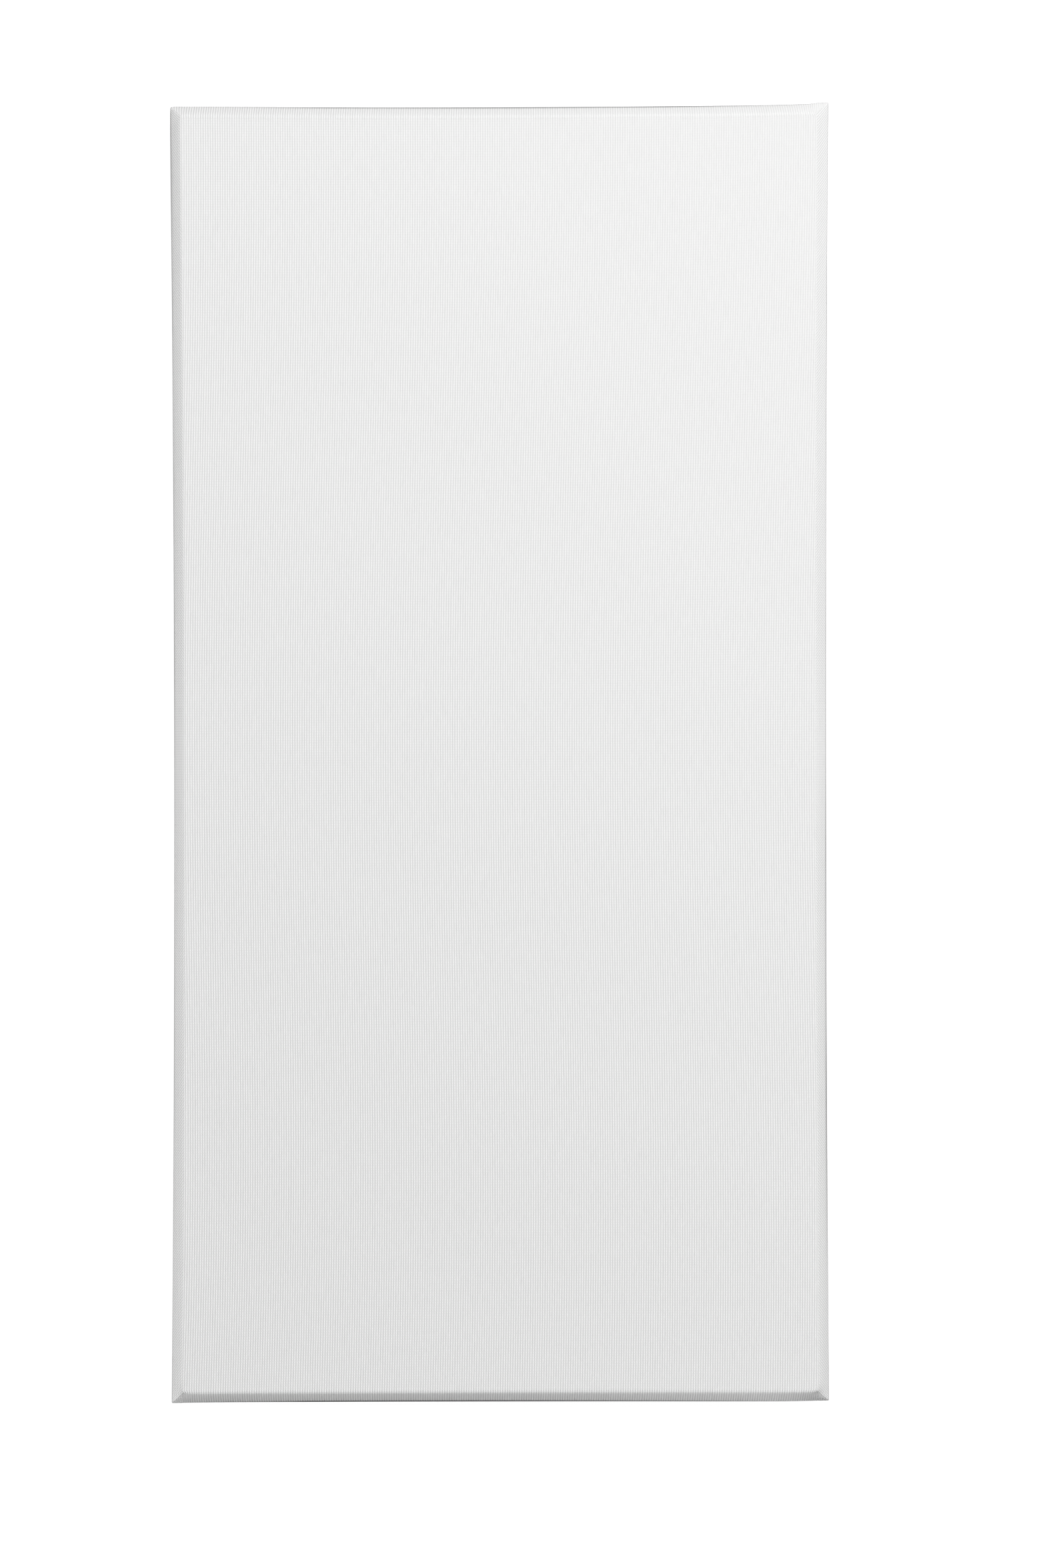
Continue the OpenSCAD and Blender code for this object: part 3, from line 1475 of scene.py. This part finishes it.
@dataclass
class GlassWoolBoard:
    """The rigid board inside the cloth.

    Attributes:
        sizes: Sizes of the wrapped panel.
        shape: How the stretched cloth shapes it.
        finish: The board's finish.
        clearance: Gap between the board and the cloth.
        columns: Strips across the face.
        rows: Strips along the face.
    """

    sizes: PanelSizes
    shape: StretchedShape
    finish: GlassWool
    clearance: float = 0.0002
    columns: int = 48
    rows: int = 72

    def build(self) -> bpy.types.Object:
        """Build the board as one closed object.

        Returns:
            The board, with its material.
        """
        inset = self.sizes.cloth + self.clearance
        path = WrapPath.over_edge(self.sizes, inset, hem=False)
        panel = PanelMesh(self.sizes, path, self.columns, self.rows)
        last = path.steps[-1]
        panel.add_flat(panel.face_x, panel.face_y, path.steps[0].height)
        panel.wrap_edge()
        panel.add_flat(panel.face_x + last.out, panel.face_y + last.out, last.height, flip=True)
        bmesh.ops.remove_doubles(panel.bm, verts=panel.bm.verts, dist=TINY)
        for vert in panel.bm.verts:
            if vert.co.z > self.sizes.thickness / 2:
                vert.co.z -= self.shape.swelling(vert.co)
            vert.co = self.shape.drawn(panel.rounded(vert.co, self.shape, inset))
        board = object_from(panel.bm, "glass_wool_board")
        board.data.materials.append(self.finish.material())
        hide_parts(BOARD_NODE)
        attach(board, "root")
        return board


@dataclass
class Studio:
    """Pale floor, soft light and the camera straight above the panel.

    Attributes:
        sizes: Sizes of the wrapped panel.
        distance: How far the camera is above the foot of the bevel.
        frame_height: Height of the picture at that level.
        foot_x: Where the camera is over the panel, along X.
        foot_y: The same along Y.
        roll: How far it is turned.
        sensor: Height of its sensor, in millimetres.
        floor_size: Width of the floor.
        floor_drop: How far the floor lies below the panel.
        floor_tone: Tone of the floor that the panel's surroundings see.
        floor_lift: Light that the camera sees on the floor besides, to make it white.
        underside_reach: Length of rays below which the floor is clear, under the panel.
        ambient: Strength of the even light.
        ambient_lean: How much stronger it is towards +X and +Y.
        ambient_sides: How much stronger it is towards both sides.
        ambient_ends: How much stronger it is towards both ends.
        key_power: Power of the key light.
        key_size: Its width.
        key_place: Its place.
    """

    sizes: PanelSizes
    distance: float = 2.5
    frame_height: float = 1.4625
    foot_x: float = 0.0212
    foot_y: float = -0.0286
    roll: float = math.radians(-0.1)
    sensor: float = 36.0
    floor_size: float = 12.0
    floor_drop: float = 0.0003
    floor_tone: float = 0.30
    floor_lift: float = 0.85
    underside_reach: float = 0.002
    ambient: float = 0.74
    ambient_lean: tuple[float, float] = (-0.42, -0.04)
    ambient_sides: float = 0.90
    ambient_ends: float = -1.95
    key_power: float = 361.0
    key_size: float = 3.1
    key_place: Triple = (2.9, 3.75, 5.6)

    def build(self) -> None:
        """Make the camera, the floor and the light."""
        self.add_camera()
        self.add_floor()
        self.add_key()
        self.add_even_light()
        bpy.context.scene.view_settings.view_transform = "Standard"

    def add_camera(self) -> None:
        """Put the camera over the panel, looking straight down."""
        camera = bpy.data.objects.new("camera", bpy.data.cameras.new("camera"))
        bpy.context.scene.collection.objects.link(camera)
        outline = self.sizes.thickness - self.sizes.bevel
        camera.location = (self.foot_x, self.foot_y, outline + self.distance)
        camera.rotation_euler = Euler((0.0, 0.0, self.roll))
        camera.data.sensor_fit = "VERTICAL"
        camera.data.sensor_height = self.sensor
        camera.data.lens = self.sensor * self.distance / self.frame_height
        bpy.context.scene.camera = camera

    def add_floor(self) -> None:
        """Lay the floor that the panel rests on."""
        bm = bmesh.new()
        bmesh.ops.create_grid(bm, x_segments=1, y_segments=1, size=self.floor_size / 2)
        bmesh.ops.translate(bm, vec=(0.0, 0.0, -self.floor_drop), verts=bm.verts)
        floor = object_from(bm, "floor")
        floor.data.materials.append(self.floor_material())

    def floor_material(self) -> bpy.types.Material:
        """Build the floor's material, which the camera sees as white.

        Returns:
            The material.
        """
        material, shader = new_material("studio_floor")
        plain = shader.node("ShaderNodeBsdfDiffuse", {"Color": (self.floor_tone,) * 3 + (1.0,)})
        path = shader.node("ShaderNodeLightPath").outputs
        rays = shader.maths("MAXIMUM", path["Is Camera Ray"], path["Is Glossy Ray"])
        rays = shader.maths("MAXIMUM", rays, path["Is Transmission Ray"])
        lift = shader.maths("MULTIPLY", rays, self.floor_lift)
        seen = shader.node("ShaderNodeEmission", {"Color": WHITE, "Strength": lift})
        both = shader.node("ShaderNodeAddShader", {0: plain.outputs[0], 1: seen.outputs[0]})
        clear = shader.node("ShaderNodeBsdfTransparent")
        short = shader.maths("LESS_THAN", path["Ray Length"], self.underside_reach)
        below = shader.node("ShaderNodeNewGeometry").outputs["Backfacing"]
        sides = {0: shader.maths("MAXIMUM", short, below), 1: both.outputs[0], 2: clear.outputs[0]}
        open_floor = shader.node("ShaderNodeMixShader", sides)
        shader.node("ShaderNodeOutputMaterial", {"Surface": open_floor.outputs[0]})
        return material

    def add_key(self) -> None:
        """Add the soft key light."""
        lamp = bpy.data.lights.new("key", "AREA")
        lamp.shape = "SQUARE"
        lamp.size = self.key_size
        lamp.energy = self.key_power
        key = bpy.data.objects.new("key", lamp)
        key.location = self.key_place
        aim = Vector((0.0, 0.0, 0.0)) - Vector(self.key_place)
        key.rotation_euler = aim.to_track_quat("-Z", "Y").to_euler()
        bpy.context.scene.collection.objects.link(key)

    def add_even_light(self) -> None:
        """Add the even light round the panel, which the camera sees as white."""
        world = bpy.data.worlds.new("studio")
        world.use_nodes = True
        shader = Shader(world.node_tree)
        side, end = shader.split(shader.node("ShaderNodeTexCoord").outputs["Generated"])
        light = shader.weighted(
            (self.ambient_lean[0], side),
            (self.ambient_lean[1], end),
            (self.ambient_sides, shader.maths("MULTIPLY", side, side)),
            (self.ambient_ends, shader.maths("MULTIPLY", end, end)),
        )
        light = shader.maths("MAXIMUM", shader.maths("ADD", light, 1.0), 0.0)
        light = shader.maths("MULTIPLY", light, self.ambient)
        camera = shader.node("ShaderNodeLightPath").outputs["Is Camera Ray"]
        mix = {"Factor": camera, "A": light, "B": 1.0}
        seen = shader.node("ShaderNodeMix", mix, data_type="FLOAT").outputs["Result"]
        even = shader.node("ShaderNodeBackground", {"Color": WHITE, "Strength": seen})
        shader.node("ShaderNodeOutputWorld", {"Surface": even.outputs[0]})
        bpy.context.scene.world = world


def object_from(bm: bmesh.types.BMesh, name: str) -> bpy.types.Object:
    """Make a smooth-shaded object of a finished bmesh, and free the bmesh.

    Args:
        bm: The mesh that was built.
        name: The object's name.

    Returns:
        The object, linked to the scene.
    """
    mesh = bpy.data.meshes.new(name)
    bm.normal_update()
    bm.to_mesh(mesh)
    bm.free()
    for polygon in mesh.polygons:
        polygon.use_smooth = True
    made = bpy.data.objects.new(name, mesh)
    bpy.context.scene.collection.objects.link(made)
    return made


def report(piece: bpy.types.Object) -> None:
    """Say what was built.

    Args:
        piece: A finished piece.
    """
    size = ", ".join(f"{side * 1000:.1f}" for side in piece.dimensions)
    log.info("%s: %d faces, %s mm", piece.name, len(piece.data.polygons), size)


def main() -> None:
    """Build the panel and its studio, and note the finished pieces' sizes."""
    logging.basicConfig(level=logging.INFO, format="%(message)s")
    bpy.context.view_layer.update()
    sizes = PanelSizes.from_frame()
    shape = StretchedShape(sizes.width / 2, sizes.length / 2)
    Studio(sizes).build()
    board = GlassWoolBoard(sizes, shape, GlassWool()).build()
    report(board)
    cover = ClothCover(sizes, shape, RibbedCloth(sizes.face_x, sizes.face_y)).build()
    sizes.flat_size
    report(cover)


if __name__ == "__main__":
    main()
